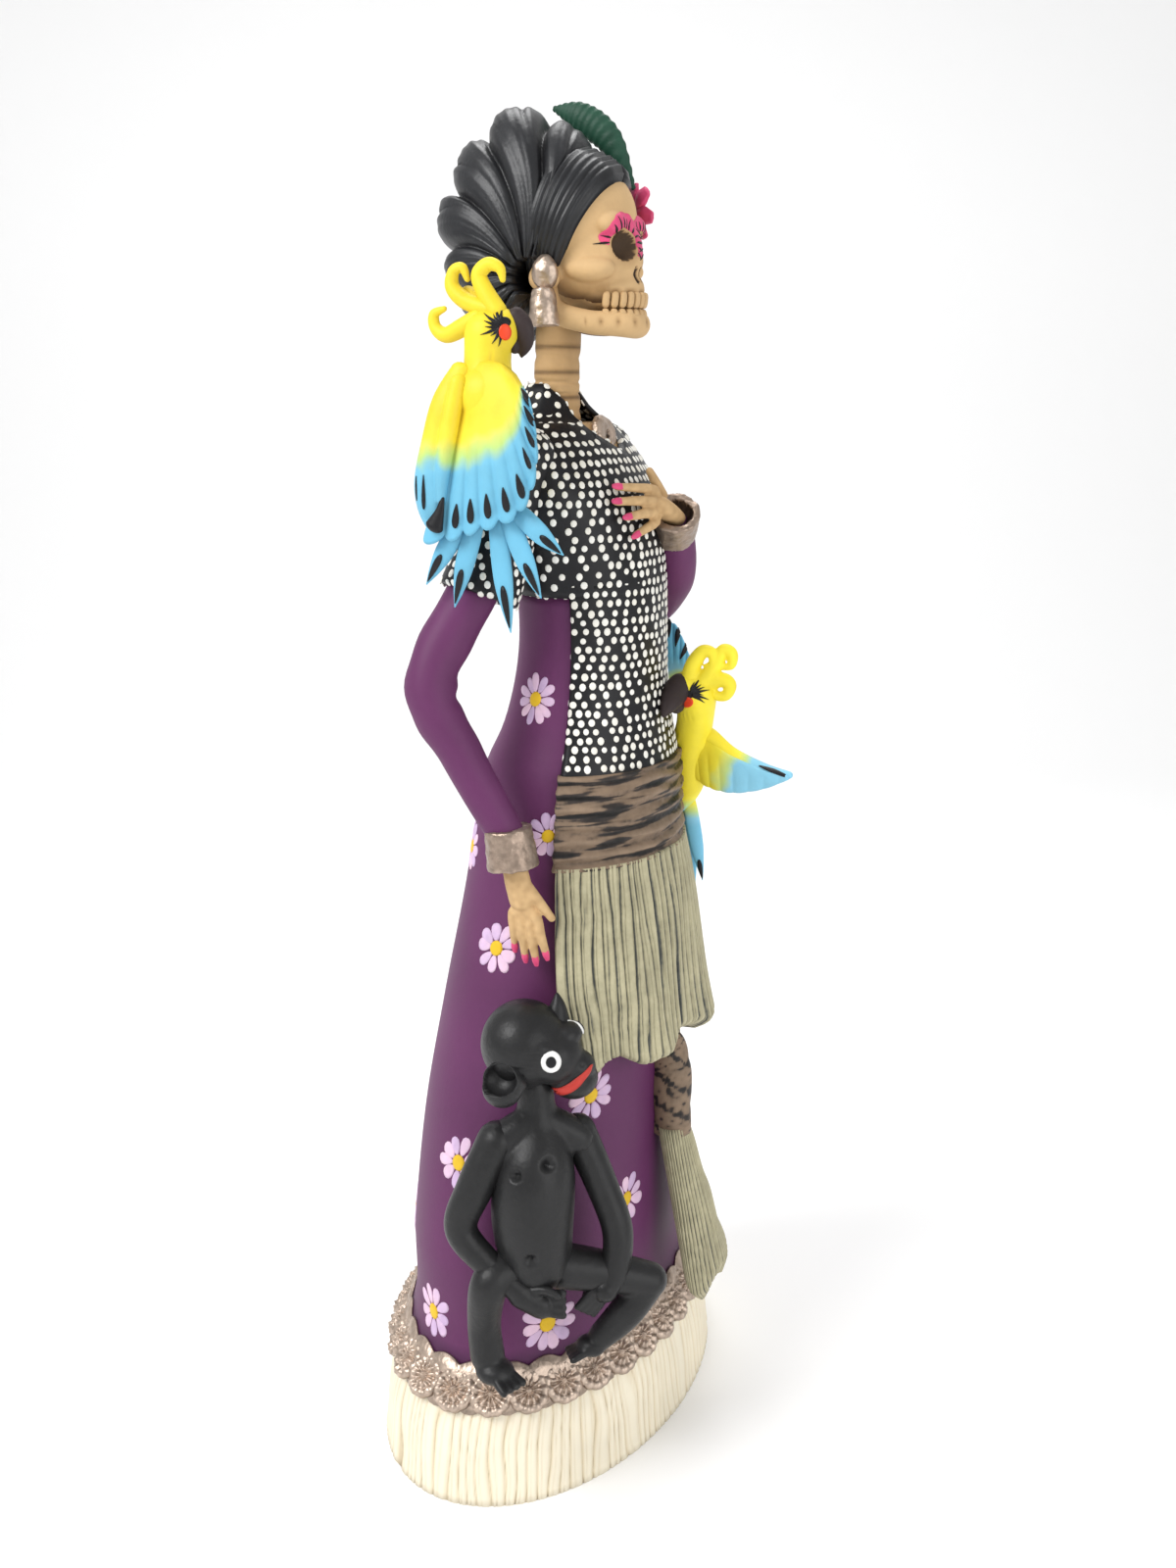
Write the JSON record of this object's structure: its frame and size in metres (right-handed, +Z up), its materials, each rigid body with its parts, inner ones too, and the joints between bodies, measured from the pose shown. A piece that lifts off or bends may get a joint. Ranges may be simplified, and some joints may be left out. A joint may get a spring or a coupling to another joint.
{
  "type": "skeleton lady figure",
  "caption": "Free-standing painted clay skeleton lady in a long dress, with two parrots and a monkey; a display figure.",
  "frame": {"origin": "centre of the oval foot, on the surface the figure stands on", "axes": "+Z up, the figure faces -Y, its right hand is towards -X"},
  "size_m": [0.1783, 0.1371, 0.4584],
  "materials": {
    "petticoat_clay": "cream paint, matt",
    "dress_clay": "purple paint, matt",
    "blouse_clay": "black paint with off-white dots",
    "sash_clay": "brown paint with black streaks",
    "fringe_clay": "grey-green beige paint with dark grooves",
    "pewter_paint": "brown pewter metallic paint",
    "bone_clay": "bone coloured paint, matt",
    "tooth_clay": "ivory paint",
    "hair_clay": "black paint, slight sheen",
    "leaf_clay": "dark green paint",
    "flower_clay": "pink paint",
    "flower_centre_clay": "yellow paint",
    "parrot_clay": "yellow to sky blue paint",
    "parrot_beak_clay": "dark brown paint",
    "monkey_clay": "charcoal paint, satin",
    "steel_wire": "bare wire"
  },
  "bodies": {
    "root": {"blouse_chest": "blouse_clay", "blouse_panel": "blouse_clay", "braid_crown": "hair_clay", "brooch": "pewter_paint", "cap_sleeve_left": "blouse_clay", "cap_sleeve_right": "blouse_clay", "chest_core": "bone_clay", "dress_body": "dress_clay", "ear_drop_left": "pewter_paint", "ear_drop_right": "pewter_paint", "ear_stud_left": "pewter_paint", "ear_stud_right": "pewter_paint", "flower_centre": "flower_centre_clay", "flower_petals": "flower_clay", "fringe_tail": "fringe_clay", "fringe_tail_wrap": "fringe_clay", "fringe_upper": "fringe_clay", "hair_band_left": "hair_clay", "hair_band_right": "hair_clay", "hip_parrot_beak": "parrot_beak_clay", "hip_parrot_body": "parrot_clay", "hip_parrot_crest": "parrot_clay", "hip_parrot_tail": "parrot_clay", "hip_parrot_wing_far": "parrot_clay", "hip_parrot_wing_near": "parrot_clay", "jaw": "bone_clay", "lace_band": "pewter_paint", "lace_rosettes": "pewter_paint", "leaf_large": "leaf_clay", "leaf_small": "leaf_clay", "left_cuff": "pewter_paint", "left_hand": "bone_clay", "left_sleeve": "dress_clay", "lower_teeth": "tooth_clay", "monkey_arm_left": "monkey_clay", "monkey_arm_right": "monkey_clay", "monkey_ears": "monkey_clay", "monkey_head": "monkey_clay", "monkey_leg_left": "monkey_clay", "monkey_leg_right": "monkey_clay", "monkey_torso": "monkey_clay", "nape_hair": "hair_clay", "neck": "bone_clay", "neck_pin": "steel_wire", "petticoat_hem": "petticoat_clay", "right_cuff": "pewter_paint", "right_hand": "bone_clay", "right_sleeve": "dress_clay", "shoulder_parrot_beak": "parrot_beak_clay", "shoulder_parrot_body": "parrot_clay", "shoulder_parrot_crest": "parrot_clay", "shoulder_parrot_tail": "parrot_clay", "shoulder_parrot_wing_left": "parrot_clay", "shoulder_parrot_wing_right": "parrot_clay", "skull": "bone_clay", "upper_teeth": "tooth_clay", "waist_sash": "sash_clay"}
  },
  "joints": []
}
